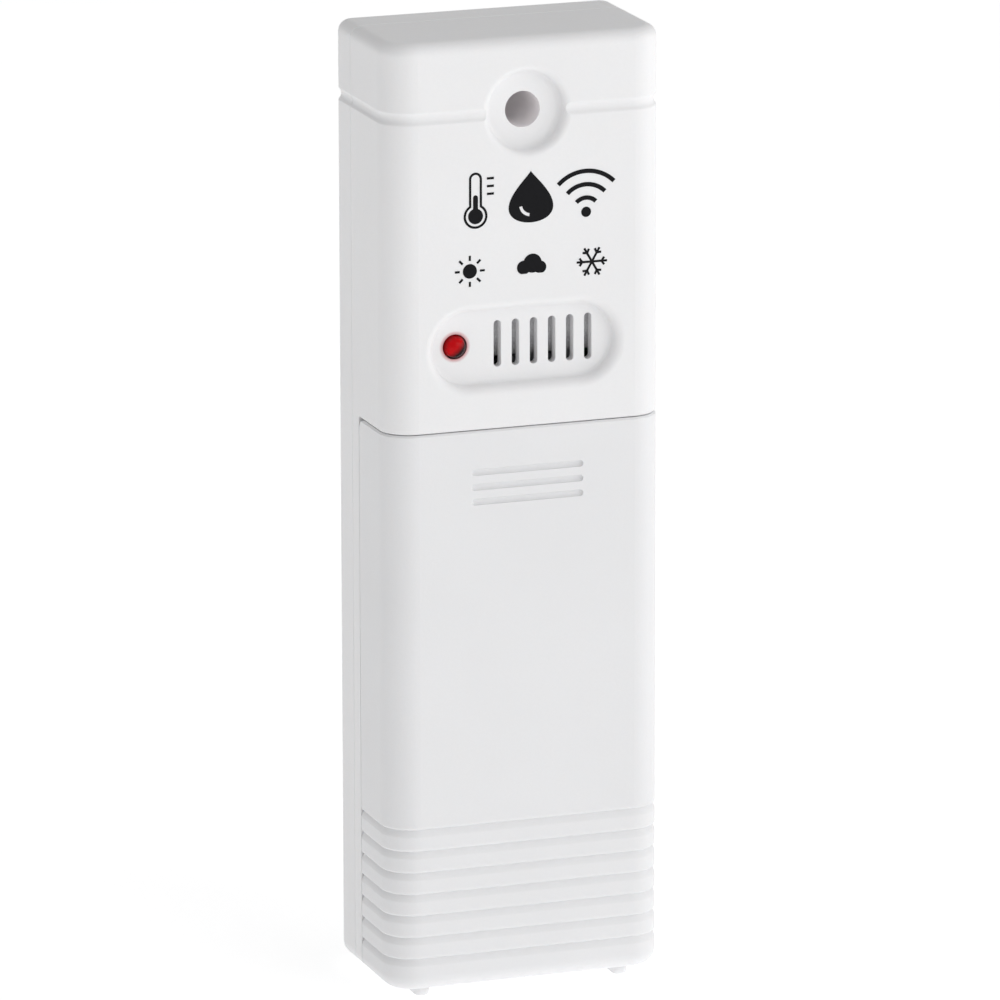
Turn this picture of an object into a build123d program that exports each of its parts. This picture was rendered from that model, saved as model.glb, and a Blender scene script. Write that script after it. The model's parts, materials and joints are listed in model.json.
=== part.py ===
from build123d import *
import os

# A wall-hung wireless outdoor temperature and humidity transmitter: a slim white
# box on four low feet, whose lower front slides down off the battery bay.
#
# Case frame, used to build every piece: X to the right, Y into the case from the
# front face, Z up from the case's flat underside, all in millimetres. seat() then
# shifts a piece into the part's own frame, with its origin under the middle of
# the case, on the surface that the feet stand on.

# ---- case -------------------------------------------------------------------
CASE_W = 38.2
CASE_D = 21.2
CASE_H = 127.0
WALL = 1.6
FRONT_R = 4.2              # upright corners at the front
BACK_R = 2.1               # upright corners at the back
TOP_R = 1.6                # edge round the top
BOTTOM_R = 2.0             # edge round the bottom
PARTING = 14.6             # front housing ends here and the back cover starts
PARTING_GAP = 0.08
PARTING_EDGE = 0.1         # small bevel along both its edges
SEAM_Z = 75.5              # lower edge of the upper front, above the battery cover
SEAM_GAP = 0.14            # closing fit of the cover against the upper front
SEAM_EDGE = 0.24           # bevel along both its edges
INNER_R = 0.5              # inside corners at the back of a shell
THROUGH = 1.0              # how far a cutter runs past what it cuts
OVERLAP = 0.1              # how far two joined shapes run into each other
NEAR = 0.01                # tolerance when picking edges by their place

FOOT_H = 1.3
FOOT_W = 2.1
FOOT_END_R = 0.8           # upright edges of a foot
FOOT_EDGE_R = 0.45         # its lower edges
FOOT_X = 13.9
FRONT_FOOT = (2.3, 9.3)    # from and to, in depth
BACK_FOOT = (15.6, 18.8)

BAND_Z = 117.2             # single groove right round the case
BAND_R = 1.0               # radius of its round floor
BAND_DEPTH = 0.34
BAND_LIP = (0.63, 1.05)    # half the width at the bottom and at the top of its eased edges
LIP_RISE = 0.1             # how far a cutter's edge is outside the case where it starts
RIB_COUNT = 7              # scalloped ribs round the foot of the battery cover
RIB_TOP_Z = 22.1           # notch above the first rib
RIB_PITCH = 2.94
RIB_NOTCH = 0.38           # depth of a notch
RIB_RAMP = 1.15            # height over which a rib's face swells out below its notch
RIB_RAMP_R = 2.1
RIB_LIP = 0.5              # height over which the rib above is rounded in to the notch
RIB_LIP_R = 0.6
RIB_RISE = 0.03            # how far the rounding starts outside the case

# ---- front recesses -----------------------------------------------------------
RECESS_DEPTH = 1.8
RECESS_BACK = 3.2          # rear face of the thickened wall behind a recess
HANG_Z = BAND_Z
HANG_DISH_R = 5.25         # wall radius of the round recess, before its rim is rounded over
HANG_DISH_RIM = 0.9
HANG_DISH_FOOT = 0.75
HANG_R = 2.4               # screw hole through the case
HANG_TUBE_R = 3.6
HANG_TUBE_END = 18.9       # the tube stops just short of the ring on the back cover
HANG_RING_H = 0.5
PANEL_Z = 86.4             # lamp and vents
PANEL_SHIFT = (-0.25, -0.2)   # the recess's middle, from the middle of the case and from PANEL_Z
PANEL_HALF = 12.55         # half the recess's length, at its wall
PANEL_R = 5.0              # half its height, at its wall
PANEL_RIM = 1.2
PANEL_FOOT = 0.5
VENT_COUNT = 6
VENT_X = -3.5              # first vent
VENT_PITCH = 2.5
VENT_W = 1.05
VENT_L = 6.2
FILTER_T = 0.4             # dust filter behind the vents
FILTER_MARGIN = 1.1        # how far it reaches past them on either side
FILTER_Z = (84.5, 90.7)    # it leaves the vents' lower ends open, so that water drains out
FILTER_CORNER_R = 0.6
LAMP_X = -9.35
LAMP_HOLE_R = 1.66

# ---- battery cover and the rails it slides on -----------------------------------
COVER_D = 11.85            # rear edge of the cover's side walls
COVER_SIDE = 1.7
COVER_FLOOR = 1.7
LIP_FRONT = 10.3           # the lips run from here to the cover's rear edge
LIP_IN = 16.5              # how near the middle the lips reach
CATCH_HALF = 3.0           # half the width of the tongue at the cover's top
CATCH_FRONT = 1.9
CATCH_BACK = 2.9
CATCH_TOP = 77.9
CATCH_ROOT = 73.4
GRIP_COUNT = 3
GRIP_TOP_Z = 69.85
GRIP_PITCH = 1.98
GRIP_LEN = 15.5
GRIP_R = 0.46
COVER_CORNER_R = 1.5

RAIL_SLOT = (10.0, 12.0)   # depth of the slot that the lips run in
RAIL_SLOT_IN = 16.2
BAY_WALL_IN = 15.2         # inner face of the bay's side walls
BAY_WALL_OUT = 17.1
BAY_WALL_FRONT = 4.6
BAY_Z0 = 8.4               # cell bay, bottom and top
BAY_Z1 = 64.2
BAY_FLOOR = (16.7, 18.1)   # bay floor, behind the cells
BULKHEAD = 1.4
DECK = (3.2, 4.4)          # wall that carries the two controls
DECK_HALF = 16.2
LEDGE_Z = (78.3, 79.7)
BAY_SILL = 1.5             # thickness under the bay
DIVIDER_T = 0.8            # rib between the two cells
DIVIDER_FRONT = 10.05
GUARD_SIZE = (0.8, 5.0)    # low ribs beside the controls
GUARD_H = 0.5
GUARD_GAP = 1.1            # from a control to the middle of its rib
TAB_SLOT_W = 3.0           # opening in the bulkhead for a contact plate's tab
TAB_SLOT_D = 0.7
LOW_BOSS_FRONT = 6.0       # where the two lower screw bosses start

# ---- cells and contacts ------------------------------------------------------------
CELL_R = 7.1
CELL_L = 50.5
NUB_R = 2.75
NUB_H = 1.2
CELL_EDGE_R = 0.5
NUB_EDGE_R = 0.4
CELL_DISH = (5.5, 0.2)     # radius and depth of the flat end's dish
CELL_X = 7.75
CELL_Y = 9.45
PLATE_T = 0.4
PLATE_SIZE = (11.0, 10.0)
TAB_W = 2.4
TAB_RISE = 2.5             # how far a tab runs up behind the board
SPRING_H = BAY_Z1 - BAY_Z0 - 2 * PLATE_T - CELL_L
SPRING_WIRE = 0.3
SPRING_BASE_R = 4.0
SPRING_CONE = 18.0
SPRING_TURNS = 3.5
SPRING_PLAY = 0.01         # play between a spring and the contact plate

# ---- circuit board --------------------------------------------------------------------
BOARD_HALF = 15.0
BOARD_Z = (67.0, 112.0)
BOARD_Y = 9.0              # front face
BOARD_T = 1.2
BOARD_BACK = BOARD_Y + BOARD_T
LEAD_R = 0.25
LEAD_HOLE_R = 0.45
COIL_HOLE_R = 0.55
LEAD_END = BOARD_BACK + 0.8
BOARD_SCREWS = [(-12.6, 108.6), (12.6, 108.6), (0.0, 76.5)]
BOARD_CORNER_R = 1.0
CONTROL_Z = 70.6           # height of both controls

# ---- parts on the board -----------------------------------------------------------------
LAMP_R = 1.6
LAMP_DOME_Y = 2.3          # where the dome's round end begins
LAMP_BODY_L = 2.6
LAMP_FLANGE_R = 1.9
LAMP_FLANGE_T = 0.8
LAMP_BACK = LAMP_DOME_Y + LAMP_BODY_L + LAMP_FLANGE_T
PIN_PITCH = 2.54
LAMP_LEADS = [(LAMP_X - PIN_PITCH / 2, PANEL_Z), (LAMP_X + PIN_PITCH / 2, PANEL_Z)]

SENSOR_X = 2.7
SENSOR_SIZE = (10.4, 7.4)
SENSOR_Y = (4.0, 7.4)
SENSOR_CORNER_R = 0.8
SENSOR_PINS = [(SENSOR_X + (i - 1) * PIN_PITCH, PANEL_Z) for i in range(3)]
SENSOR_SLOTS = 5
SENSOR_SLOT_SIZE = (0.7, 5.0)
SENSOR_SLOT_PITCH = 1.6
SENSOR_SLOT_DEPTH = 1.2

BEAD_X = 9.8
BEAD_Y = 5.4
BEAD_R = 1.3
BEAD_STRETCH = 1.15        # the bead is this much wider than it is high
BEAD_LEADS = [(BEAD_X - 0.9, PANEL_Z), (BEAD_X + 0.9, PANEL_Z)]

CRYSTAL = (4.5, 98.0)
CRYSTAL_CAN = (10.8, 4.4)
CRYSTAL_CAN_Y = (5.5, 8.7)
CRYSTAL_BASE = (11.4, 5.0)
CRYSTAL_BASE_Y = (8.3, 8.9)
CRYSTAL_EDGE_R = 0.5
CRYSTAL_PINS = [(CRYSTAL[0] - 2.44, CRYSTAL[1]), (CRYSTAL[0] + 2.44, CRYSTAL[1])]

COIL_Z = 108.2             # aerial coil
COIL_Y = 13.8
COIL_R = 2.4
COIL_WIRE = 0.35
COIL_LEN = 14.0
COIL_TURNS = 9
COIL_LEG_Y = 8.4
COIL_LEGS = [(-COIL_LEN / 2, COIL_Z - COIL_R), (COIL_LEN / 2, COIL_Z - COIL_R)]

CAN = (10.0, 81.5)         # upright capacitor
CAN_R = 2.5
CAN_H = 7.0
CAN_STAND = 0.2            # gap between it and the board
CAN_EDGE_R = 0.3
CAN_SCORE = (3.2, 0.5, 0.3)
CAN_PIN_Y = 8.2
CAN_PINS = [(CAN[0] - 1.0, CAN[1]), (CAN[0] + 1.0, CAN[1])]

CHIP_STAND = 0.1           # gap between a chip's body and the board
CHIP_T = 1.5
CHIP_BEVEL = 0.25
CONTROLLER = ((-2.5, 92.0), (17.0, 7.4), 14, 1.4)   # centre, size, pins a side, pin reach
RADIO = ((1.5, 101.6), (9.8, 3.9), 8, 1.1)
PIN_T = 0.2
PIN_SHOULDER = 0.9         # height of a gull-wing pin's top
PIN_SHARE = 0.35           # pin width as a share of the pin pitch
PIN_ROOT = 0.2             # how far a pin runs into its package

RESISTOR_SIZE = (2.0, 1.2)
RESISTOR_H = 0.5
RESISTORS = [(-12.5 + 2.6 * i, 84.5) for i in range(4)] + [(-12.8, 90 + 2.4 * i) for i in range(5)]
CERAMIC_SIZE = (1.6, 0.9)
CERAMIC_H = 0.8
CERAMICS = [(-1 + 2.4 * i, 84.5) for i in range(3)] + [(13.0, 88 + 2.2 * i) for i in range(6)]

# ---- transmit button and channel switch --------------------------------------------------
BUTTON_X = -8.0
BUTTON_R = 1.9
BUTTON_FRONT = 2.4
BUTTON_FLANGE = (4.7, 5.0)
BUTTON_FLANGE_R = 2.7
BUTTON_EDGE_R = 0.35
BUTTON_DISH_R = 4.0        # hollow in the button's face
BUTTON_DISH_DEPTH = 0.4
PLUNGER_R = 1.5
PLUNGER_END = 6.4
CLEARANCE = 0.3
TACT_SIZE = 6.0
TACT_BEVEL = 0.4
TACT_FRONT = 5.8
TACT_HOLE_END = 7.2
TACT_FEET = (8.4, 0.7)
TACT_FOOT_Z = 2.0          # how far the feet are above and below the middle
SWITCH_FOOT_T = 0.25       # thickness of the switches' solder feet

SLIDE_X = 7.0
SLIDE_SIZE = (9.4, 4.4)
SLIDE_FRONT = 5.2
SLIDE_TRAVEL = 4.0         # three positions, 2 mm apart
SLIDE_BEVEL = 0.3
SLIDE_FEET = 4
SLIDE_FOOT_PITCH = 2.0
SLIDE_FOOT = (0.5, 1.4)
SLIDE_FOOT_ROOT = 0.2      # how far a foot runs into the body
KNOB_SIZE = (2.4, 2.6)
KNOB_STEM = (1.5, 1.3)
KNOB_FRONT = 2.3
KNOB_BACK = 4.6
KNOB_BEVEL = 0.25
KNOB_NOTCH = (0.35, 0.3)   # width and depth of the two grip notches
KNOB_NOTCH_PITCH = 0.9
KNOB_STEM_END = 6.0

# ---- screws -----------------------------------------------------------------------------
CASE_SCREWS = [(-13.0, 4.3), (13.0, 4.3), (-14.2, 122.0), (14.2, 122.0)]
CASE_BOSS_R = 2.2
CASE_SCREW_R = 1.0
CASE_SCREW_L = 8.0
CASE_HEAD_R = 1.9
CASE_HEAD_Y = 16.4         # face that the heads pull on
CASE_POST_R = 2.5
BOARD_SCREW_R = 0.9
BOARD_SCREW_L = 5.0
BOARD_HEAD_R = 1.7
HEAD_H = 1.3
HEAD_EDGE_R = 0.5
CROSS_W = 0.42             # cross recess in a head
CROSS_DEPTH = 0.75
CROSS_SHARE = 1.25         # its length as a share of the head's radius
RING_PITCH = 0.8           # shallow rings that stand for the thread
RING_W = 0.3
RING_DEPTH = 0.18
TIP_SHARE = 0.3            # radius of a screw's tip as a share of its shank's
END_PLAY = 0.4             # room past a screw's tip
FIT = 0.04                 # play round a screw in its pilot hole
HOLE_PLAY = 0.2            # play round a screw in its clearance hole
HEAD_PLAY = 0.25           # play round a head in its counterbore


# ---- helpers ----------------------------------------------------------------------------
def block(x, y, z):
    """A box from three (low, high) pairs."""
    middle = Pos(sum(x) / 2, sum(y) / 2, sum(z) / 2)
    return middle * Box(x[1] - x[0], y[1] - y[0], z[1] - z[0])


def centred(x, z, size, y):
    """A box centred on (x, z), size wide and high, between two depths."""
    return block((x - size[0] / 2, x + size[0] / 2), y, (z - size[1] / 2, z + size[1] / 2))


def rod(x, z, radius, y):
    """A round bar along the depth of the case, between two depths."""
    return Pos(x, sum(y) / 2, z) * Rot(X=90) * Cylinder(radius, y[1] - y[0])


def both_sides(shape):
    """The shape and its mirror image across the middle of the case."""
    return shape + mirror(shape, about=Plane.YZ)


def plan(half_width, y, front_r, back_r):
    """A rectangle in plan, with its front and its back corners rounded."""
    shape = Pos(0, sum(y) / 2) * Rectangle(2 * half_width, y[1] - y[0])
    shape = fillet(shape.vertices().group_by(Axis.Y)[0], front_r)
    return fillet(shape.vertices().group_by(Axis.Y)[-1], back_r)


def diamond(gap, edge):
    """Section of the bevel along both edges of a seam this wide."""
    side = (gap + 2 * edge) / 2**0.5
    return Rot(Z=45) * Rectangle(side, side)


def seat(shape):
    """Moves a piece from the case frame to the part's own frame."""
    return Pos(0, -CASE_D / 2, FOOT_H) * shape


# ---- case envelope --------------------------------------------------------------------------
def envelope():
    """The whole outer shape of the case, solid and without its feet."""
    shape = extrude(plan(CASE_W / 2, (0, CASE_D), FRONT_R, BACK_R), CASE_H)
    shape = fillet(shape.edges().group_by(Axis.Z)[-1], TOP_R)
    return fillet(shape.edges().group_by(Axis.Z)[0], BOTTOM_R)


def swept_round(section, z):
    """A section carried right round the case at one height. Its X lies along Z, its Y points out."""
    outline = plan(CASE_W / 2, (0, CASE_D), FRONT_R, BACK_R)
    path = (Pos(0, 0, z) * outline).face().outer_wire()
    return sweep(Plane(origin=path @ 0, x_dir=(0, 0, 1), z_dir=path % 0) * section, path=path)


def band():
    """Cutter for the shallow round-floored groove right round the case, with eased edges."""
    low, high = BAND_LIP
    corners = [(low, -LIP_RISE), (high, LIP_RISE), (-high, LIP_RISE), (-low, -LIP_RISE)]
    section = Pos(0, BAND_R - BAND_DEPTH) * Circle(BAND_R) + Polygon(*corners, align=None)
    return swept_round(section, BAND_Z)


def notch(z):
    """Cutter for the notch above a rib: rounded in from above, and swelling out again slowly below."""
    root = (0, -RIB_NOTCH)
    above = (RIB_LIP, RIB_RISE)
    below = (-RIB_RAMP, RIB_RISE)
    outside = [below, (-RIB_RAMP, THROUGH), (RIB_LIP, THROUGH), above]
    rounding = RadiusArc(root, above, RIB_LIP_R)
    swelling = RadiusArc(below, root, RIB_RAMP_R)
    return swept_round(make_face(rounding + swelling + Polyline(*outside)), z)


def seam_bevel():
    """Cutter that bevels both edges of the seam above the battery cover, as far back as the cover goes."""
    ring = swept_round(diamond(SEAM_GAP, SEAM_EDGE), SEAM_Z - SEAM_GAP / 2)
    return ring & block((-CASE_W, CASE_W), (-THROUGH, COVER_D), (0, CASE_H))


def parting_bevel(shape):
    """Cutter that bevels both edges of the joint between front housing and back cover."""
    middle = PARTING + PARTING_GAP / 2
    path = (Plane.XZ.offset(-middle) * Rectangle(4 * CASE_W, 4 * CASE_H) & shape).face().outer_wire()
    start = Plane(origin=path @ 0, x_dir=(0, 1, 0), z_dir=path % 0)
    return sweep(start * diamond(PARTING_GAP, PARTING_EDGE), path=path)


def foot(x, y):
    """One low foot, long in the depth, with its lower edges rounded."""
    shape = block((x - FOOT_W / 2, x + FOOT_W / 2), y, (-FOOT_H, WALL / 2))
    shape = fillet(shape.edges().filter_by(Axis.Z), FOOT_END_R)
    return fillet(shape.edges().group_by(Axis.Z)[0], FOOT_EDGE_R)


def oval(half_length, radius):
    """A lying slot shape with round ends, or a circle when the length is no more than that."""
    return SlotOverall(2 * half_length, 2 * radius) if half_length > radius else Circle(radius)


def recess(half_length, radius, foot_r):
    """Cutter for a flat-floored recess with round ends, lying along X."""
    profile = oval(half_length, radius)
    shape = Pos(0, RECESS_DEPTH, 0) * Rot(X=90) * extrude(profile, RECESS_DEPTH + THROUGH)
    return fillet(shape.edges().group_by(Axis.Y)[-1], foot_r)


def backing(half_length, radius, rim_r):
    """The thickened wall behind a recess."""
    profile = oval(half_length + rim_r + WALL / 2, radius + rim_r + WALL / 2)
    return Pos(0, RECESS_BACK, 0) * Rot(X=90) * extrude(profile, RECESS_BACK - WALL / 2)


# ---- plastic shells ---------------------------------------------------------------------------
def front_housing(shape):
    """Upper front, side bands, bay for the cells and deck for the controls, in one moulding."""
    half = CASE_W / 2
    everywhere = (-half, half)
    room = plan(half - WALL, (WALL, CASE_D), FRONT_R - WALL, INNER_R)
    housing = shape & block(everywhere, (-THROUGH, PARTING), (SEAM_Z, CASE_H))
    housing -= Pos(0, 0, LEDGE_Z[1]) * extrude(room, CASE_H - WALL - LEDGE_Z[1])
    housing += shape & block(everywhere, (RAIL_SLOT[1], PARTING), (0, SEAM_Z))
    housing = add_bay(housing)
    housing -= both_sides(block((RAIL_SLOT_IN, half), RAIL_SLOT, (-THROUGH, SEAM_Z)))
    housing += control_guards()
    housing += screw_bosses()
    dish = Pos(0, 0, HANG_Z)
    panel = Pos(PANEL_SHIFT[0], 0, PANEL_Z + PANEL_SHIFT[1])
    housing += dish * backing(HANG_DISH_R, HANG_DISH_R, HANG_DISH_RIM)
    housing += rod(0, HANG_Z, HANG_TUBE_R, (WALL, HANG_TUBE_END))
    housing += panel * backing(PANEL_HALF, PANEL_R, PANEL_RIM)
    housing = cut_recess(housing, dish, (HANG_DISH_R, HANG_DISH_R), HANG_DISH_RIM, HANG_DISH_FOOT)
    housing = cut_recess(housing, panel, (PANEL_HALF, PANEL_R), PANEL_RIM, PANEL_FOOT)
    return housing - front_openings() - band() - seam_bevel() - parting_bevel(shape)


def add_bay(housing):
    """Adds the cells' bay, its floor and bulkheads, and the deck and ledge above it."""
    bay_top = BAY_Z1 + BULKHEAD
    bay_foot = BAY_Z0 - BAY_SILL
    side = (BAY_WALL_IN, BAY_WALL_OUT)
    wide = (-BAY_WALL_OUT, BAY_WALL_OUT)
    deep = (BAY_WALL_FRONT, BAY_FLOOR[1])
    across = (-DECK_HALF, DECK_HALF)
    housing += both_sides(block(side, deep, (bay_foot, bay_top)))
    housing += both_sides(block(side, (BAY_WALL_FRONT, PARTING), (bay_top, LEDGE_Z[1])))
    housing -= block((-BAY_WALL_IN, BAY_WALL_IN), (WALL, CASE_D), (BAY_Z0, LEDGE_Z[1]))
    housing += block(wide, deep, (bay_foot, BAY_Z0))
    housing += block(wide, deep, (BAY_Z1, bay_top))
    housing += block(wide, BAY_FLOOR, (bay_foot, bay_top))
    housing += block(across, (DECK[0], BAY_WALL_FRONT + OVERLAP), (BAY_Z1, bay_top))
    housing += block(across, DECK, (BAY_Z1, LEDGE_Z[1]))
    housing += block((-BAY_WALL_IN, BAY_WALL_IN), (WALL / 2, DECK[1]), LEDGE_Z)
    rib = (BAY_Z0 + SPRING_H, BAY_Z1 - SPRING_H)
    return housing + block((-DIVIDER_T / 2, DIVIDER_T / 2), (DIVIDER_FRONT, BAY_FLOOR[1]), rib)


def cut_recess(housing, place, half_size, rim_r, foot_r):
    """Cuts one recess into the front face at a place and rounds its rim over."""
    half_length, radius = half_size
    middle = place.position
    housing -= place * recess(half_length, radius, foot_r)
    rim = [
        edge for edge in housing.edges().filter_by_position(Axis.Y, -NEAR, NEAR)
        if abs(edge.center().Z - middle.Z) < radius + OVERLAP
        and abs(edge.center().X - middle.X) < half_length + OVERLAP
    ]
    return fillet(rim, rim_r)


def control_guards():
    """Low ribs on the deck beside the two controls, so that neither is moved by accident."""
    depth = (DECK[0] - GUARD_H, DECK[0] + OVERLAP)
    guards = Part()
    for x, half_width in ((BUTTON_X, BUTTON_R), (SLIDE_X, (SLIDE_TRAVEL + KNOB_SIZE[0]) / 2)):
        for side in (-1, 1):
            guards += centred(x + side * (half_width + GUARD_GAP), CONTROL_Z, GUARD_SIZE, depth)
    return guards


def screw_bosses():
    """Bosses that take the case screws and the board screws."""
    bosses = Part()
    for x, z in CASE_SCREWS:
        start = LOW_BOSS_FRONT if z < BAY_Z0 else WALL / 2
        bosses += rod(x, z, CASE_BOSS_R, (start, PARTING))
    for x, z in BOARD_SCREWS:
        start = DECK[1] - OVERLAP if z < LEDGE_Z[1] else WALL / 2
        bosses += rod(x, z, CASE_BOSS_R, (start, BOARD_Y))
    return bosses


def front_openings():
    """Every hole in the front housing: screws, wall screw, lamp, vents, controls and contact tabs."""
    deck = (DECK[0] - THROUGH, DECK[1] + THROUGH)
    vent_back = RECESS_BACK + THROUGH
    cuts = rod(0, HANG_Z, HANG_R, (-THROUGH, CASE_D))
    cuts += rod(LAMP_X, PANEL_Z, LAMP_HOLE_R, (0, vent_back))
    vent = Rot(X=90) * extrude(Rot(Z=90) * SlotOverall(VENT_L, VENT_W), vent_back)
    for i in range(VENT_COUNT):
        cuts += Pos(VENT_X + i * VENT_PITCH, vent_back, PANEL_Z) * vent
    for x, z in CASE_SCREWS:
        cuts += rod(x, z, CASE_SCREW_R + FIT, (CASE_HEAD_Y - CASE_SCREW_L - END_PLAY, PARTING + THROUGH))
    for x, z in BOARD_SCREWS:
        cuts += rod(x, z, BOARD_SCREW_R + FIT, (BOARD_BACK - BOARD_SCREW_L - END_PLAY, BOARD_Y + THROUGH))
    cuts += rod(BUTTON_X, CONTROL_Z, BUTTON_R + CLEARANCE, deck)
    window = (SLIDE_TRAVEL + KNOB_SIZE[0] + 2 * CLEARANCE, KNOB_SIZE[1] + 2 * CLEARANCE)
    cuts += centred(SLIDE_X, CONTROL_Z, window, deck)
    tab_depth = (BOARD_BACK - OVERLAP, BOARD_BACK - OVERLAP + TAB_SLOT_D)
    bulkhead = (BAY_Z1 - THROUGH, BAY_Z1 + BULKHEAD + THROUGH)
    for x in (-CELL_X, CELL_X):
        cuts += block((x - TAB_SLOT_W / 2, x + TAB_SLOT_W / 2), tab_depth, bulkhead)
    return cuts


def back_cover(shape):
    """Rear shell, with recessed posts for the case screws and the hole for the wall screw."""
    half = CASE_W / 2
    start = PARTING + PARTING_GAP
    room = plan(half - WALL, (WALL, CASE_D - WALL), INNER_R, INNER_R)
    cover = shape & block((-half, half), (start, CASE_D), (0, CASE_H))
    cover -= Pos(0, 0, WALL) * extrude(room, CASE_H - 2 * WALL)
    for x, z in CASE_SCREWS:
        cover += rod(x, z, CASE_POST_R, (start, CASE_D - WALL / 2))
    cover += rod(0, HANG_Z, HANG_TUBE_R, (CASE_D - WALL - HANG_RING_H, CASE_D - WALL / 2))
    for x in (-FOOT_X, FOOT_X):
        cover += foot(x, BACK_FOOT)
    cover -= rod(0, HANG_Z, HANG_R, (start, CASE_D + THROUGH))
    for x, z in CASE_SCREWS:
        cover -= rod(x, z, CASE_SCREW_R + HOLE_PLAY, (start - THROUGH, CASE_D))
        cover -= rod(x, z, CASE_HEAD_R + HEAD_PLAY, (CASE_HEAD_Y, CASE_D + THROUGH))
    return cover - band() - parting_bevel(shape)


def battery_cover(shape):
    """Lower front, which slides down on two lips and catches behind the upper front."""
    half = CASE_W / 2
    top = SEAM_Z - SEAM_GAP
    inner = half - COVER_SIDE
    across = (-CATCH_HALF, CATCH_HALF)
    cover = shape & block((-half, half), (0, COVER_D), (0, top))
    cover -= Pos(0, 0, COVER_FLOOR) * extrude(plan(inner, (WALL, CASE_D), FRONT_R - WALL, INNER_R), top)
    rear = cover.edges().filter_by(Axis.X).filter_by_position(Axis.Y, COVER_D - NEAR, COVER_D + NEAR)
    cover = fillet(rear.filter_by_position(Axis.Z, top - NEAR, top + NEAR), COVER_CORNER_R)
    lip = (COVER_FLOOR, top - 2 * COVER_CORNER_R)
    cover += both_sides(block((LIP_IN, inner + OVERLAP), (LIP_FRONT, COVER_D), lip))
    cover += block(across, (WALL / 2, CATCH_BACK), (CATCH_ROOT, top))
    cover += block(across, (CATCH_FRONT, CATCH_BACK), (CATCH_ROOT, CATCH_TOP))
    for i in range(RIB_COUNT):
        cover -= notch(RIB_TOP_Z - i * RIB_PITCH)
    for i in range(GRIP_COUNT):
        cover -= grip(GRIP_TOP_Z - i * GRIP_PITCH)
    for x in (-FOOT_X, FOOT_X):
        cover += foot(x, FRONT_FOOT)
    return cover - seam_bevel()


def grip(z):
    """Cutter for one short finger groove across the cover."""
    reach = GRIP_LEN / 2 - GRIP_R
    shape = Pos(0, 0, z) * Rot(Y=90) * Cylinder(GRIP_R, 2 * reach)
    for x in (-reach, reach):
        shape += Pos(x, 0, z) * Sphere(GRIP_R)
    return shape


def vent_filter():
    """A thin felt pad that keeps dust out, held against the back of the vents."""
    middle = VENT_X + (VENT_COUNT - 1) * VENT_PITCH / 2
    width = (VENT_COUNT - 1) * VENT_PITCH + VENT_W + 2 * FILTER_MARGIN
    across = (middle - width / 2, middle + width / 2)
    pad = block(across, (RECESS_BACK, RECESS_BACK + FILTER_T), FILTER_Z)
    return fillet(pad.edges().filter_by(Axis.Y), FILTER_CORNER_R)


# ---- cells and contacts ------------------------------------------------------------------------
def cell(x, nub_up):
    """One AA cell, standing in the bay."""
    shoulder = CELL_L - NUB_H
    body = fillet((Pos(0, 0, shoulder / 2) * Cylinder(CELL_R, shoulder)).edges(), CELL_EDGE_R)
    body += Pos(0, 0, shoulder) * Cylinder(NUB_R, 2 * NUB_H)
    body = fillet(body.edges().group_by(Axis.Z)[-1], NUB_EDGE_R)
    body -= Cylinder(CELL_DISH[0], 2 * CELL_DISH[1])
    if nub_up:
        return Pos(x, CELL_Y, BAY_Z1 - PLATE_T - CELL_L) * body
    return Pos(x, CELL_Y, BAY_Z0 + PLATE_T + CELL_L) * Rot(X=180) * body


def spring(x, z, pointing_up):
    """One conical contact spring, with its wide end on the contact plate."""
    height = SPRING_H - 2 * SPRING_WIRE
    path = Helix(height / SPRING_TURNS, height, SPRING_BASE_R, cone_angle=-SPRING_CONE)
    wire = Circle(SPRING_WIRE - SPRING_PLAY)
    coil = Pos(0, 0, SPRING_WIRE) * sweep(Plane(origin=path @ 0, z_dir=path % 0) * wire, path=path)
    return Pos(x, CELL_Y, z) * (coil if pointing_up else Rot(X=180) * coil)


def top_plate(x):
    """A contact plate under the bulkhead, whose tab runs up to the board."""
    low = BAY_Z1 - PLATE_T
    depth = (CELL_Y - PLATE_SIZE[1] / 2, CELL_Y + PLATE_SIZE[1] / 2)
    plate = block((x - PLATE_SIZE[0] / 2, x + PLATE_SIZE[0] / 2), depth, (low, BAY_Z1))
    tab = (BOARD_BACK, BOARD_BACK + PLATE_T)
    return plate + block((x - TAB_W / 2, x + TAB_W / 2), tab, (low, BOARD_Z[0] + TAB_RISE))


def link_plate():
    """The plate at the foot of the bay, which joins the two cells in series."""
    reach = CELL_X + PLATE_SIZE[0] / 2
    depth = (CELL_Y - PLATE_SIZE[1] / 2, CELL_Y + PLATE_SIZE[1] / 2)
    return block((-reach, reach), depth, (BAY_Z0, BAY_Z0 + PLATE_T))


# ---- circuit board and what is on it ----------------------------------------------------------------
def leads(places, y):
    """Round wire leads at several places, between two depths."""
    group = Part()
    for x, z in places:
        group += rod(x, z, LEAD_R, y)
    return group


def circuit_board():
    """The bare board, drilled for its screws and leads."""
    drill = (BOARD_Y - THROUGH, BOARD_BACK + THROUGH)
    board = block((-BOARD_HALF, BOARD_HALF), (BOARD_Y, BOARD_BACK), BOARD_Z)
    board = fillet(board.edges().filter_by(Axis.Y), BOARD_CORNER_R)
    for x, z in BOARD_SCREWS:
        board -= rod(x, z, BOARD_SCREW_R + HOLE_PLAY, drill)
    for x, z in LAMP_LEADS + SENSOR_PINS + BEAD_LEADS + CRYSTAL_PINS + CAN_PINS:
        board -= rod(x, z, LEAD_HOLE_R, drill)
    for x, z in COIL_LEGS:
        board -= rod(x, z, COIL_HOLE_R, drill)
    return board


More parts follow.
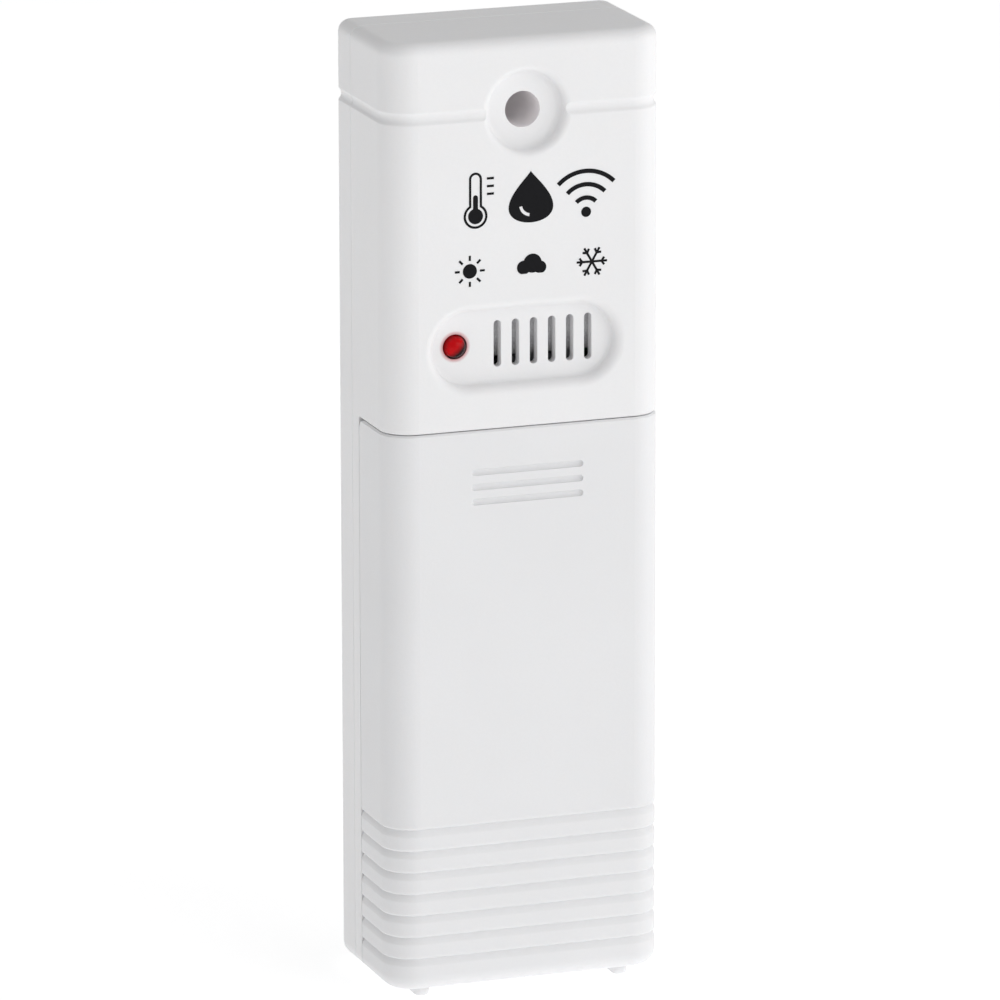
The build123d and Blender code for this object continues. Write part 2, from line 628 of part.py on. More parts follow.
def status_lamp():
    """A 3 mm red lamp, whose dome stands just proud of the panel floor."""
    flange = LAMP_DOME_Y + LAMP_BODY_L
    lamp = rod(LAMP_X, PANEL_Z, LAMP_R, (LAMP_DOME_Y, flange + OVERLAP))
    lamp += Pos(LAMP_X, LAMP_DOME_Y, PANEL_Z) * Sphere(LAMP_R)
    return lamp + rod(LAMP_X, PANEL_Z, LAMP_FLANGE_R, (flange, LAMP_BACK))


def humidity_sensor():
    """The slotted sensor case behind the vents, on three pins."""
    case = centred(SENSOR_X, PANEL_Z, SENSOR_SIZE, SENSOR_Y)
    case = fillet(case.edges().filter_by(Axis.Y), SENSOR_CORNER_R)
    slot = (SENSOR_Y[0] - THROUGH, SENSOR_Y[0] + SENSOR_SLOT_DEPTH)
    for i in range(SENSOR_SLOTS):
        x = SENSOR_X + (i - (SENSOR_SLOTS - 1) / 2) * SENSOR_SLOT_PITCH
        case -= centred(x, PANEL_Z, SENSOR_SLOT_SIZE, slot)
    return case + leads(SENSOR_PINS, (SENSOR_Y[1] - OVERLAP, LEAD_END))


def thermistor():
    """A small bead on two thin leads."""
    bead = Pos(BEAD_X, BEAD_Y, PANEL_Z) * scale(Sphere(BEAD_R), (BEAD_STRETCH, 1, 1))
    return bead + leads(BEAD_LEADS, (BEAD_Y, LEAD_END))


def chip(centre, size, pins_a_side, reach):
    """A flat package on the back of the board, with gull-wing pins along its two long sides."""
    body = centred(*centre, size, (BOARD_BACK + CHIP_STAND, BOARD_BACK + CHIP_STAND + CHIP_T))
    body = chamfer(body.edges().group_by(Axis.Y)[-1], CHIP_BEVEL)
    pitch = size[0] / pins_a_side
    for i in range(pins_a_side):
        x = centre[0] - size[0] / 2 + (i + 0.5) * pitch
        for side in (-1, 1):
            body += gull_pin(x, centre[1] + side * size[1] / 2, side, PIN_SHARE * pitch, reach)
    return body


def gull_pin(x, z, side, width, reach):
    """One bent pin: out of the package's edge at z, down to the board, and along it."""
    top = BOARD_BACK + PIN_SHOULDER
    bend = z + side * reach / 2
    tip = z + side * reach
    across = (x - width / 2, x + width / 2)
    pin = block(across, (top - PIN_T, top), sorted((z - side * PIN_ROOT, bend)))
    pin += block(across, (BOARD_BACK, top), (bend - PIN_T / 2, bend + PIN_T / 2))
    return pin + block(across, (BOARD_BACK, BOARD_BACK + PIN_T), sorted((bend, tip)))


def crystal():
    """A low metal-cased crystal on the front of the board."""
    can = centred(*CRYSTAL, CRYSTAL_CAN, CRYSTAL_CAN_Y)
    can = fillet(can.edges().filter_by(Axis.Y), CRYSTAL_CAN[1] / 2 - OVERLAP)
    can = fillet(can.edges().group_by(Axis.Y)[0], CRYSTAL_EDGE_R)
    base = centred(*CRYSTAL, CRYSTAL_BASE, CRYSTAL_BASE_Y)
    base = fillet(base.edges().filter_by(Axis.Y), CRYSTAL_BASE[1] / 2 - OVERLAP)
    return can + base + leads(CRYSTAL_PINS, (CRYSTAL_BASE_Y[1] - OVERLAP, LEAD_END))


def antenna_coil():
    """The aerial, a wire coil lying across the top of the board on its two legs."""
    path = Helix(COIL_LEN / COIL_TURNS, COIL_LEN, COIL_R)
    coil = sweep(Plane(origin=path @ 0, z_dir=path % 0) * Circle(COIL_WIRE), path=path)
    coil = Pos(-COIL_LEN / 2, COIL_Y, COIL_Z) * Rot(Y=90) * coil
    for x, z in COIL_LEGS:
        coil += rod(x, z, COIL_WIRE, (COIL_LEG_Y, COIL_Y))
        coil += Pos(x, COIL_Y, z) * Sphere(COIL_WIRE)
    return coil


def buffer_capacitor():
    """A small upright electrolytic capacitor on the back of the board."""
    start = BOARD_BACK + CAN_STAND
    can = rod(*CAN, CAN_R, (start, start + CAN_H))
    can = fillet(can.edges(), CAN_EDGE_R)
    for angle in (0, 90):
        can -= Pos(CAN[0], start + CAN_H, CAN[1]) * Rot(Y=angle) * Box(*CAN_SCORE)
    return can + leads(CAN_PINS, (CAN_PIN_Y, start + CAN_STAND))


def small_parts(places, size, height):
    """A group of identical surface-mounted parts on the back of the board."""
    group = [centred(x, z, size, (BOARD_BACK, BOARD_BACK + height)) for x, z in places]
    return Compound(children=group)


# ---- controls -----------------------------------------------------------------------------------------
def tact_switch():
    """The push switch's square body, with its solder feet."""
    body = centred(BUTTON_X, CONTROL_Z, (TACT_SIZE, TACT_SIZE), (TACT_FRONT, BOARD_Y))
    body = chamfer(body.edges().filter_by(Axis.Y), TACT_BEVEL)
    body -= rod(BUTTON_X, CONTROL_Z, PLUNGER_R + CLEARANCE, (TACT_FRONT - THROUGH, TACT_HOLE_END))
    for side in (-1, 1):
        z = CONTROL_Z + side * TACT_FOOT_Z
        body += centred(BUTTON_X, z, TACT_FEET, (BOARD_Y - SWITCH_FOOT_T, BOARD_Y))
    return body


def plunger():
    """The switch's own stem, which the button cap pushes."""
    return rod(BUTTON_X, CONTROL_Z, PLUNGER_R, (BUTTON_FLANGE[1], PLUNGER_END))


def button_cap():
    """The round cap that shows through the deck, held in by its flange."""
    cap = rod(BUTTON_X, CONTROL_Z, BUTTON_R, (BUTTON_FRONT, BUTTON_FLANGE[1]))
    cap = fillet(cap.edges().group_by(Axis.Y)[0], BUTTON_EDGE_R)
    cap += rod(BUTTON_X, CONTROL_Z, BUTTON_FLANGE_R, BUTTON_FLANGE)
    hollow = BUTTON_FRONT + BUTTON_DISH_DEPTH - BUTTON_DISH_R
    return cap - Pos(BUTTON_X, hollow, CONTROL_Z) * Sphere(BUTTON_DISH_R)


def slide_switch():
    """The channel switch's body, slotted for its knob, with its solder feet."""
    body = centred(SLIDE_X, CONTROL_Z, SLIDE_SIZE, (SLIDE_FRONT, BOARD_Y))
    body = chamfer(body.edges().filter_by(Axis.Y), SLIDE_BEVEL)
    slot = (SLIDE_TRAVEL + KNOB_STEM[0] + 2 * CLEARANCE, KNOB_STEM[1] + 2 * CLEARANCE)
    body -= centred(SLIDE_X, CONTROL_Z, slot, (SLIDE_FRONT - THROUGH, KNOB_STEM_END + CLEARANCE))
    foot_z = CONTROL_Z - (SLIDE_SIZE[1] + SLIDE_FOOT[1]) / 2 + SLIDE_FOOT_ROOT
    for i in range(SLIDE_FEET):
        x = SLIDE_X + (i - (SLIDE_FEET - 1) / 2) * SLIDE_FOOT_PITCH
        body += centred(x, foot_z, SLIDE_FOOT, (BOARD_Y - SWITCH_FOOT_T, BOARD_Y))
    return body


def slide_knob():
    """The channel switch's knob at its first position, with two grip notches."""
    x = SLIDE_X - SLIDE_TRAVEL / 2
    knob = centred(x, CONTROL_Z, KNOB_SIZE, (KNOB_FRONT, KNOB_BACK))
    knob = chamfer(knob.edges().group_by(Axis.Y)[0], KNOB_BEVEL)
    notch = (KNOB_FRONT - THROUGH, KNOB_FRONT + KNOB_NOTCH[1])
    for side in (-1, 1):
        across = x + side * KNOB_NOTCH_PITCH / 2
        knob -= centred(across, CONTROL_Z, (KNOB_NOTCH[0], KNOB_SIZE[1] + THROUGH), notch)
    return knob + centred(x, CONTROL_Z, KNOB_STEM, (KNOB_BACK - OVERLAP, KNOB_STEM_END))


# ---- screws -----------------------------------------------------------------------------------------
def screw(x, z, seat_y, radius, length, head_r):
    """A pan-head screw put in from the back, with a cross recess and a thread of shallow rings."""
    tip_y = seat_y - length
    shank_y = tip_y + radius
    shape = rod(x, z, head_r, (seat_y, seat_y + HEAD_H))
    shape = fillet(shape.edges().group_by(Axis.Y)[-1], HEAD_EDGE_R)
    cross = Box(CROSS_SHARE * head_r, 2 * CROSS_DEPTH, CROSS_W)
    for angle in (0, 90):
        shape -= Pos(x, seat_y + HEAD_H, z) * Rot(Y=angle) * cross
    shape += rod(x, z, radius, (shank_y, seat_y + OVERLAP))
    shape += Pos(x, tip_y + radius / 2, z) * Rot(X=90) * Cone(radius, radius * TIP_SHARE, radius)
    for i in range(int((length - 2 * radius - 1) / RING_PITCH)):
        y = shank_y + (i + 0.5) * RING_PITCH
        outer = rod(x, z, radius + THROUGH, (y, y + RING_W))
        shape -= outer - rod(x, z, radius - RING_DEPTH, (y - THROUGH, y + THROUGH))
    return shape


def screws(places, seat_y, radius, length, head_r):
    """The same screw at several places."""
    return Compound(children=[screw(x, z, seat_y, radius, length, head_r) for x, z in places])


# ---- assembly --------------------------------------------------------------------------------------
CASE = envelope()
PIECES = {
    "front_housing": front_housing(CASE),
    "back_cover": back_cover(CASE),
    "battery_cover": battery_cover(CASE),
    "vent_filter": vent_filter(),
    "battery_left": cell(-CELL_X, True),
    "battery_right": cell(CELL_X, False),
    "contact_plate_positive": top_plate(-CELL_X),
    "contact_plate_negative": top_plate(CELL_X),
    "contact_plate_link": link_plate(),
    "contact_spring_upper": spring(CELL_X, BAY_Z1 - PLATE_T, False),
    "contact_spring_lower": spring(-CELL_X, BAY_Z0 + PLATE_T, True),
    "circuit_board": circuit_board(),
    "status_lamp": status_lamp(),
    "status_lamp_leads": leads(LAMP_LEADS, (LAMP_BACK, LEAD_END)),
    "humidity_sensor": humidity_sensor(),
    "thermistor": thermistor(),
    "controller_chip": chip(*CONTROLLER),
    "radio_chip": chip(*RADIO),
    "timing_crystal": crystal(),
    "antenna_coil": antenna_coil(),
    "buffer_capacitor": buffer_capacitor(),
    "chip_resistors": small_parts(RESISTORS, RESISTOR_SIZE, RESISTOR_H),
    "ceramic_capacitors": small_parts(CERAMICS, CERAMIC_SIZE, CERAMIC_H),
    "transmit_switch_body": tact_switch(),
    "transmit_switch_plunger": plunger(),
    "transmit_button": button_cap(),
    "channel_switch_body": slide_switch(),
    "channel_switch_knob": slide_knob(),
    "case_screws": screws(CASE_SCREWS, CASE_HEAD_Y, CASE_SCREW_R, CASE_SCREW_L, CASE_HEAD_R),
    "board_screws": screws(BOARD_SCREWS, BOARD_BACK, BOARD_SCREW_R, BOARD_SCREW_L, BOARD_HEAD_R),
}

os.makedirs("parts", exist_ok=True)
for name, piece in PIECES.items():
    export_step(seat(piece), f"parts/{name}.step")
    print(f"{name:26s} {piece.volume:9.1f} mm3, {len(piece.solids())} solids")
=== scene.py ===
import json
import math

import bmesh
import bpy
from mathutils import Matrix, Vector


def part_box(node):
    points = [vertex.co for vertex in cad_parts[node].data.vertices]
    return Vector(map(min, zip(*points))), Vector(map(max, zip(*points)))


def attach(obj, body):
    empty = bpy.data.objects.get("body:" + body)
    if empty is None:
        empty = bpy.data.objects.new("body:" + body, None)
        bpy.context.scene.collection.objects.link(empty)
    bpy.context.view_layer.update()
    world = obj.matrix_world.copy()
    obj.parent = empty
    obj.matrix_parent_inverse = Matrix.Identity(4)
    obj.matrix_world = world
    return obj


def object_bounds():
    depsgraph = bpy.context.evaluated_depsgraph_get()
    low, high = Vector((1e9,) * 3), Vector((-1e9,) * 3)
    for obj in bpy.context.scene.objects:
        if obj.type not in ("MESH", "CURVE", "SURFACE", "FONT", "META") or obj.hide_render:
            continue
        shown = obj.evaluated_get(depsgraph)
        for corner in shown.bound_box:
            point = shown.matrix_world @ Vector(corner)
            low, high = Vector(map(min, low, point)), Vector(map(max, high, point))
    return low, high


# The looks of a wall-hung weather transmitter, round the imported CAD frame. Metres, +Z up,
# front towards -Y. Lengths that are easier to read in millimetres are written as n * MM.

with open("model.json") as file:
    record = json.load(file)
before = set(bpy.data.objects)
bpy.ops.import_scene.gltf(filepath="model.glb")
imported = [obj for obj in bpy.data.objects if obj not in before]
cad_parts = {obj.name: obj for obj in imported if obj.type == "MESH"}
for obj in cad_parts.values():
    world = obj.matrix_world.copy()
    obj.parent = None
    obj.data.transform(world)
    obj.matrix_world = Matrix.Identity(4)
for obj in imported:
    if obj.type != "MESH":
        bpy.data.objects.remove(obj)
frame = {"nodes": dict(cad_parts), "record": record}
cad_low, cad_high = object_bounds()
MM = 0.001
NODES = frame["nodes"]
FRONT_Y = cad_low.y
MIDDLE = (cad_low + cad_high) / 2
HOLE = next(m for m in frame["record"]["mounts"] if m["name"] == "hang_hole")


def middle_of(node):
    low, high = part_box(node)
    return (low + high) / 2


LAMP = middle_of("status_lamp")
LAMP_HOLE_R = 1.66 * MM


# ---- small node-graph helpers ----------------------------------------------------------
class Graph:
    """A material's node tree, with short calls for the nodes used here."""

    def __init__(self, name):
        self.material = bpy.data.materials.new(name)
        self.material.use_nodes = True
        self.tree = self.material.node_tree
        self.shader = self.tree.nodes["Principled BSDF"]
        self.place = self.tree.nodes.new("ShaderNodeTexCoord").outputs["Object"]

    def node(self, kind, **settings):
        made = self.tree.nodes.new(kind)
        for key, value in settings.items():
            setattr(made, key, value)
        return made

    def link(self, source, target):
        self.tree.links.new(source, target)

    def put(self, target, value):
        """A socket takes either another socket's output or a plain value."""
        if isinstance(value, bpy.types.NodeSocket):
            self.link(value, target)
        else:
            target.default_value = value

    def fixed(self, **values):
        """Values that are the same all over, set on the shader's own sockets."""
        for key, value in values.items():
            self.shader.inputs[key.replace("_", " ")].default_value = value

    def noise(self, size, detail=2.0, stretch=(1, 1, 1), shift=0.0):
        """Noise with features of about the given size, in metres. Returns its 0 to 1 output."""
        spread = self.node("ShaderNodeMapping")
        self.link(self.place, spread.inputs["Vector"])
        spread.inputs["Scale"].default_value = stretch
        spread.inputs["Location"].default_value = (shift, shift, shift)
        texture = self.node("ShaderNodeTexNoise")
        self.link(spread.outputs["Vector"], texture.inputs["Vector"])
        texture.inputs["Scale"].default_value = 1 / size
        texture.inputs["Detail"].default_value = detail
        return texture.outputs["Fac"]

    def axis(self, letter):
        """One coordinate of the surface point, in metres in the piece's own frame."""
        split = self.node("ShaderNodeSeparateXYZ")
        self.link(self.place, split.inputs["Vector"])
        return split.outputs[letter]

    def facing(self, letter):
        """How far the surface faces along one axis, from 0 to 1 either way."""
        split = self.node("ShaderNodeSeparateXYZ")
        self.link(self.node("ShaderNodeNewGeometry").outputs["Normal"], split.inputs["Vector"])
        return self.math("ABSOLUTE", split.outputs[letter])

    def math(self, operation, a, b=0.0):
        made = self.node("ShaderNodeMath", operation=operation)
        self.put(made.inputs[0], a)
        self.put(made.inputs[1], b)
        return made.outputs["Value"]

    def distance(self, a, b):
        """Length of the vector whose two parts are a and b."""
        return self.math("SQRT", self.math("ADD", self.math("MULTIPLY", a, a), self.math("MULTIPLY", b, b)))

    def off_line(self, x, z):
        """Distance of the surface point from a line along Y through x and z."""
        beside = self.math("SUBTRACT", self.axis("X"), x)
        above = self.math("SUBTRACT", self.axis("Z"), z)
        return self.distance(beside, above)

    def ramp(self, value, low, high, start=0.0, end=1.0):
        """value from low to high, spread over start to end and held there beyond."""
        made = self.node("ShaderNodeMapRange")
        self.put(made.inputs["Value"], value)
        made.inputs["From Min"].default_value = low
        made.inputs["From Max"].default_value = high
        made.inputs["To Min"].default_value = start
        made.inputs["To Max"].default_value = end
        return made.outputs["Result"]

    def within(self, distance, limit):
        """1 where a distance is under a limit, with a slightly soft edge."""
        return self.ramp(distance, limit - 0.02 * MM, limit + 0.02 * MM, 1.0, 0.0)

    def blend(self, share, first, second):
        """A colour that goes from first to second with share."""
        made = self.node("ShaderNodeMix", data_type="RGBA")
        self.put(made.inputs["Factor"], share)
        self.put(made.inputs["A"], (*first, 1) if isinstance(first, tuple) else first)
        self.put(made.inputs["B"], (*second, 1) if isinstance(second, tuple) else second)
        return made.outputs["Result"]

    def colour(self, value):
        self.link(value, self.shader.inputs["Base Color"])

    def roughness(self, value):
        self.link(value, self.shader.inputs["Roughness"])

    def metallic(self, value):
        self.link(value, self.shader.inputs["Metallic"])

    def bump(self, *layers):
        """Each layer is (height output, depth in metres of its relief)."""
        normal = None
        for height, depth in layers:
            made = self.node("ShaderNodeBump")
            made.inputs["Strength"].default_value = 1.0
            made.inputs["Distance"].default_value = depth
            self.link(height, made.inputs["Height"])
            if normal is not None:
                self.link(normal, made.inputs["Normal"])
            normal = made.outputs["Normal"]
        self.link(normal, self.shader.inputs["Normal"])


def shade(colour, amount):
    """A colour made lighter or darker by a factor."""
    return tuple(min(1.0, channel * amount) for channel in colour)


# ---- materials ---------------------------------------------------------------------------
# Painted light: the hang hole's bore is painted in this lighter white.
BORE_PAINTED_LIGHT = (0.985, 0.955, 0.965)
# Painted light: the lamp's red glow, painted onto the white plastic round it.
PAINTED_GLOW_RED = (0.55, 0.06, 0.07)
TIN = (0.74, 0.74, 0.72)
INK_BLACK = (0.020, 0.022, 0.028)
PALE_GREY = (0.70, 0.71, 0.72)


def moulded_white(name, colour, shift):
    """White plastic with a fine spark-eroded texture and faint flow in its tone, painted lighter and a
    little lilac in the bore as painted light for the light inside the hole.

    Painted light: the lamp's red glow is painted into the plastic round its hole, on the front face.
    """
    g = Graph(name)
    flow = g.noise(22 * MM, 3.0, shift=shift)
    speckle = g.noise(0.35 * MM, 2.0, shift=shift)
    tone = g.blend(g.ramp(flow, 0.35, 0.65), shade(colour, 0.985), shade(colour, 1.01))
    textured = g.blend(g.ramp(speckle, 0.3, 0.7, 0.0, 0.25), tone, shade(colour, 0.96))
    from_hole = g.off_line(HOLE["pos_m"][0], HOLE["pos_m"][2])
    # Painted light: the bore is painted lighter than the front face.
    bore_painted_light = g.within(from_hole, HOLE["dims"]["r_mm"] * MM + 0.04 * MM)
    tone_so_far = g.blend(bore_painted_light, textured, BORE_PAINTED_LIGHT)
    # Painted light: a red glow painted on the front face round the lamp's hole.
    painted_lamp_glow = g.ramp(g.off_line(LAMP.x, LAMP.z), LAMP_HOLE_R, LAMP_HOLE_R + 0.5 * MM, 0.7, 0.0)
    on_front = g.ramp(g.axis("Y"), FRONT_Y + 2 * MM, FRONT_Y + 3 * MM, 1.0, 0.0)
    g.colour(g.blend(g.math("MULTIPLY", painted_lamp_glow, on_front), tone_so_far, PAINTED_GLOW_RED))
    g.roughness(g.ramp(speckle, 0.3, 0.7, 0.42, 0.52))
    g.bump((flow, 0.10 * MM), (speckle, 0.012 * MM))
    g.fixed(Subsurface_Weight=0.12, Subsurface_Scale=0.6 * MM, Specular_IOR_Level=0.45)
    g.shader.inputs["Subsurface Radius"].default_value = (1.0, 0.85, 0.75)
    return g.material


def moulded(name, colour, roughness, grain):
    """Moulded plastic or fired ceramic, with a little grain in its gloss and tone."""
    g = Graph(name)
    speckle = g.noise(grain, 3.0)
    g.colour(g.blend(speckle, shade(colour, 0.8), shade(colour, 1.25)))
    g.roughness(g.ramp(speckle, 0.3, 0.7, roughness - 0.06, roughness + 0.06))
    g.bump((speckle, 0.01 * MM))
    return g.material


def red_lens(name):
    """Red-tinted epoxy, bright at its upper left as painted light, with painted shade round its rim and
    towards its lower right, and faint clouds.
    """
    g = Graph(name)
    cloud = g.noise(0.9 * MM, 3.0)
    right = g.math("SUBTRACT", g.axis("X"), LAMP.x)
    down = g.math("SUBTRACT", LAMP.z, g.axis("Z"))
    # Painted light and shade: brighter towards the upper left, darker towards the lower right.
    painted_shade_low_right = g.ramp(g.math("ADD", right, down), -0.2 * MM, 1.0 * MM, 0.27, 0.95)
    # Painted shade: a dark ring round the rim.
    painted_rim_shade = g.ramp(g.off_line(LAMP.x, LAMP.z), 1.15 * MM, 1.5 * MM, 0.0, 0.35)
    # The sum is painted shading, with a little random cloud in it.
    depth = g.math("ADD", g.math("ADD", painted_shade_low_right, painted_rim_shade), g.math("MULTIPLY", cloud, 0.15))
    g.colour(g.blend(depth, (0.80, 0.002, 0.006), (0.015, 0.001, 0.002)))
    g.roughness(g.ramp(cloud, 0.3, 0.7, 0.10, 0.18))
    g.fixed(Subsurface_Weight=0.3, Subsurface_Scale=0.5 * MM, Specular_IOR_Level=0.12)
    return g.material


def felt(name, node, colour):
    """Pressed fibres: a fine uneven nap in tone and height, with painted shade darkening the lower edge,
    where the slots' lower walls shade it.
    """
    g = Graph(name)
    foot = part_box(node)[0].z
    shade_height = 3.2 * MM
    nap = g.noise(0.25 * MM, 4.0)
    strands = g.noise(0.12 * MM, 2.0, stretch=(1, 1, 0.15), shift=1.3)
    mixed = g.math("MULTIPLY", g.math("ADD", nap, strands), 0.5)
    tone_so_far = g.blend(g.ramp(mixed, 0.35, 0.65), shade(colour, 0.8), shade(colour, 1.15))
    uneven = g.math("ADD", g.axis("Z"), g.math("MULTIPLY", nap, 1.2 * MM))
    # Painted shade: darker towards the pad's lower edge, along a wavering line.
    painted_shade = g.ramp(uneven, foot, foot + shade_height, 1.0, 0.0)
    g.colour(g.blend(painted_shade, tone_so_far, shade(colour, 0.12)))
    g.roughness(g.ramp(nap, 0.3, 0.7, 0.85, 0.98))
    g.bump((mixed, 0.08 * MM))
    return g.material


def metal(name, colour, roughness, stretch=(1, 1, 1), grain=0.3 * MM):
    """Plated or drawn metal, whose fine lines run along the axis with the small stretch."""
    g = Graph(name)
    lines = g.noise(grain, 3.0, stretch=stretch)
    stain = g.noise(4 * MM, 2.0)
    tone = g.blend(lines, shade(colour, 0.9), shade(colour, 1.06))
    g.colour(g.blend(g.ramp(stain, 0.35, 0.7, 0.0, 0.35), tone, shade(colour, 0.82)))
    g.roughness(g.ramp(lines, 0.3, 0.7, roughness - 0.07, roughness + 0.09))
    g.bump((lines, 0.006 * MM))
    g.fixed(Metallic=1.0)
    return g.material


def part_metal(name, colour, roughness, metal_share):
    """Plastic whose pins, feet or end are bright metal: metal_share(graph) is 1 where the metal is."""
    g = Graph(name)
    speckle = g.noise(0.4 * MM, 3.0)
    share = metal_share(g)
    plastic = g.blend(speckle, shade(colour, 0.85), shade(colour, 1.2))
    tin = g.blend(speckle, shade(TIN, 0.85), TIN)
    g.colour(g.blend(share, plastic, tin))
    g.metallic(share)
    plain = g.ramp(speckle, 0.3, 0.7, roughness - 0.05, roughness + 0.05)
    tin_roughness = 0.28
    g.roughness(g.math("SUBTRACT", plain, g.math("MULTIPLY", share, roughness - tin_roughness)))
    g.bump((speckle, 0.01 * MM))
    return g.material


def solder_mask(name):
    """Green solder mask over copper tracks, with bare glass fibre along the board's edge."""
    g = Graph(name)
    track_pitch, row_pitch = 1.3 * MM, 9.5 * MM
    wander = g.noise(7 * MM, 1.0)
    across = g.math("ADD", g.axis("X"), g.math("MULTIPLY", wander, 5 * MM))
    wave = g.math("SINE", g.math("MULTIPLY", across, 2 * math.pi / track_pitch))
    rows = g.math("SINE", g.math("MULTIPLY", g.axis("Z"), 2 * math.pi / row_pitch))
    track = g.math("MULTIPLY", g.ramp(wave, 0.45, 0.6), g.ramp(rows, -0.2, 0.0))
    grain = g.noise(0.5 * MM, 3.0)
    mask = g.blend(grain, (0.010, 0.085, 0.030), (0.016, 0.115, 0.042))
    face = g.blend(track, mask, (0.045, 0.23, 0.085))
    flat = g.ramp(g.facing("Y"), 0.4, 0.6)
    g.colour(g.blend(flat, (0.42, 0.36, 0.20), face))
    g.roughness(g.ramp(flat, 0.0, 1.0, 0.75, 0.28))
    g.bump((track, 0.035 * MM), (grain, 0.006 * MM))
    return g.material


def cell_jacket(name, node):
    """A printed jacket: a pale band and a plus at the nub end, a minus at the other, bare steel at both."""
    low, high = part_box(node)
    middle = (low + high) / 2
    half, radius = (high.z - low.z) / 2, (high.x - low.x) / 2
    band_start = half - 13 * MM
    plus_level, minus_level = half - 6.5 * MM, 6.0 * MM - half
    stroke_half, sign_half = 0.3 * MM, 1.7 * MM
    nub_up = 1 if node == "battery_left" else -1
    g = Graph(name)
    from_middle = g.math("MULTIPLY", g.math("SUBTRACT", g.axis("Z"), middle.z), nub_up)
    sheen = g.noise(0.3 * MM, 2.0, stretch=(1, 1, 0.05))
    body = g.blend(sheen, (0.030, 0.075, 0.150), (0.040, 0.095, 0.180))
    band = g.ramp(from_middle, band_start - 0.1 * MM, band_start + 0.1 * MM)
    printed = g.blend(band, body, PALE_GREY)
    off_x = g.math("SUBTRACT", g.axis("X"), middle.x)
    off_y = g.math("SUBTRACT", g.axis("Y"), middle.y)
    end = g.ramp(g.distance(off_x, off_y), radius - 0.9 * MM, radius - 0.8 * MM, 1.0, 0.0)
    beside = g.math("ABSOLUTE", off_x)
    in_front = g.ramp(off_y, -0.1 * MM, 0.1 * MM, 1.0, 0.0)
    from_plus = g.math("ABSOLUTE", g.math("SUBTRACT", from_middle, plus_level))
    from_minus = g.math("ABSOLUTE", g.math("SUBTRACT", from_middle, minus_level))
    upright = g.math("MULTIPLY", g.within(beside, stroke_half), g.within(from_plus, sign_half))
    lying = g.math("MULTIPLY", g.within(beside, sign_half), g.within(from_plus, stroke_half))
    cross = g.math("MULTIPLY", g.math("MAXIMUM", upright, lying), in_front)
    dash = g.math("MULTIPLY", g.within(beside, sign_half), g.within(from_minus, stroke_half))
    with_plus = g.blend(cross, printed, INK_BLACK)
    with_both = g.blend(g.math("MULTIPLY", dash, in_front), with_plus, PALE_GREY)
    g.colour(g.blend(end, with_both, (0.72, 0.71, 0.69)))
    g.metallic(g.ramp(end, 0.0, 1.0, 0.15, 1.0))
    g.roughness(g.ramp(sheen, 0.3, 0.7, 0.22, 0.34))
    g.bump((sheen, 0.008 * MM))
    g.fixed(Coat_Weight=0.5, Coat_Roughness=0.12)
    return g.material


def ink(name):
    """Black pad-printed ink, slightly uneven."""
    g = Graph(name)
    film = g.noise(0.5 * MM, 3.0)
    g.colour(g.blend(film, (0.003, 0.003, 0.004), (0.009, 0.009, 0.011)))
    g.roughness(g.ramp(film, 0.3, 0.7, 0.5, 0.62))
    g.fixed(Specular_IOR_Level=0.12)
    g.bump((film, 0.004 * MM))
    return g.material


METAL_EDGE = 0.03 * MM


def behind(limit):
    """A metal share: 1 where the surface is further back than a limit."""
    def share(g):
        return g.ramp(g.axis("Y"), limit - METAL_EDGE, limit + METAL_EDGE)

    return share


def outside(letter, centre, half):
    """A metal share: 1 where a coordinate is further than half from centre."""
    def share(g):
        distance = g.math("ABSOLUTE", g.math("SUBTRACT", g.axis(letter), centre))
        return g.ramp(distance, half - METAL_EDGE, half + METAL_EDGE)

    return share


def dress(material, *names):
    """Gives CAD nodes a material."""
    for name in names:
        for holder in NODES[name].material_slots:
            holder.material = material


dress(moulded_white("case_white", (0.860, 0.858, 0.865), 0.0), "front_housing", "back_cover")
# Painted shade: the cover's white is a little darker than the case's, standing in for less light on the
# lower part.
dress(moulded_white("cover_white", (0.815, 0.815, 0.825), 3.7), "battery_cover")
dress(red_lens("lamp_red"), "status_lamp")
dress(felt("filter_grey", "vent_filter", (0.42, 0.42, 0.43)), "vent_filter")
dress(solder_mask("board_green"), "circuit_board")
dress(metal("wire_tinned", (0.78, 0.78, 0.76), 0.25, stretch=(1, 0.1, 1)), "status_lamp_leads")
dress(metal("can_steel", (0.78, 0.78, 0.79), 0.24), "timing_crystal")
dress(metal("screw_steel", (0.66, 0.66, 0.68), 0.3), "case_screws", "board_screws")
dress(
    metal("contact_steel", (0.80, 0.79, 0.77), 0.26, stretch=(0.08, 1, 1)),
    "contact_plate_positive", "contact_plate_negative", "contact_plate_link",
)
dress(
    metal("spring_steel", (0.76, 0.75, 0.73), 0.22, grain=0.15 * MM),
    "contact_spring_upper", "contact_spring_lower",
)
dress(metal("coil_copper", (0.83, 0.42, 0.20), 0.22, stretch=(0.3, 1, 1), grain=0.2 * MM), "antenna_coil")
for cell in ("battery_left", "battery_right"):
    dress(cell_jacket(f"{cell}_jacket", cell), cell)
for chip, body_half in (("controller_chip", 3.7 * MM), ("radio_chip", 1.95 * MM)):
    pins = outside("Z", middle_of(chip).z, body_half)
    dress(part_metal(f"{chip}_black", (0.022, 0.022, 0.025), 0.52, pins), chip)
sensor_pins = behind(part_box("humidity_sensor")[0].y + 3.45 * MM)
dress(part_metal("humidity_sensor_shell", (0.12, 0.125, 0.13), 0.5, sensor_pins), "humidity_sensor")
bead_leads = behind(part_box("thermistor")[0].y + 2.55 * MM)
dress(part_metal("thermistor_bead", (0.030, 0.030, 0.034), 0.3, bead_leads), "thermistor")
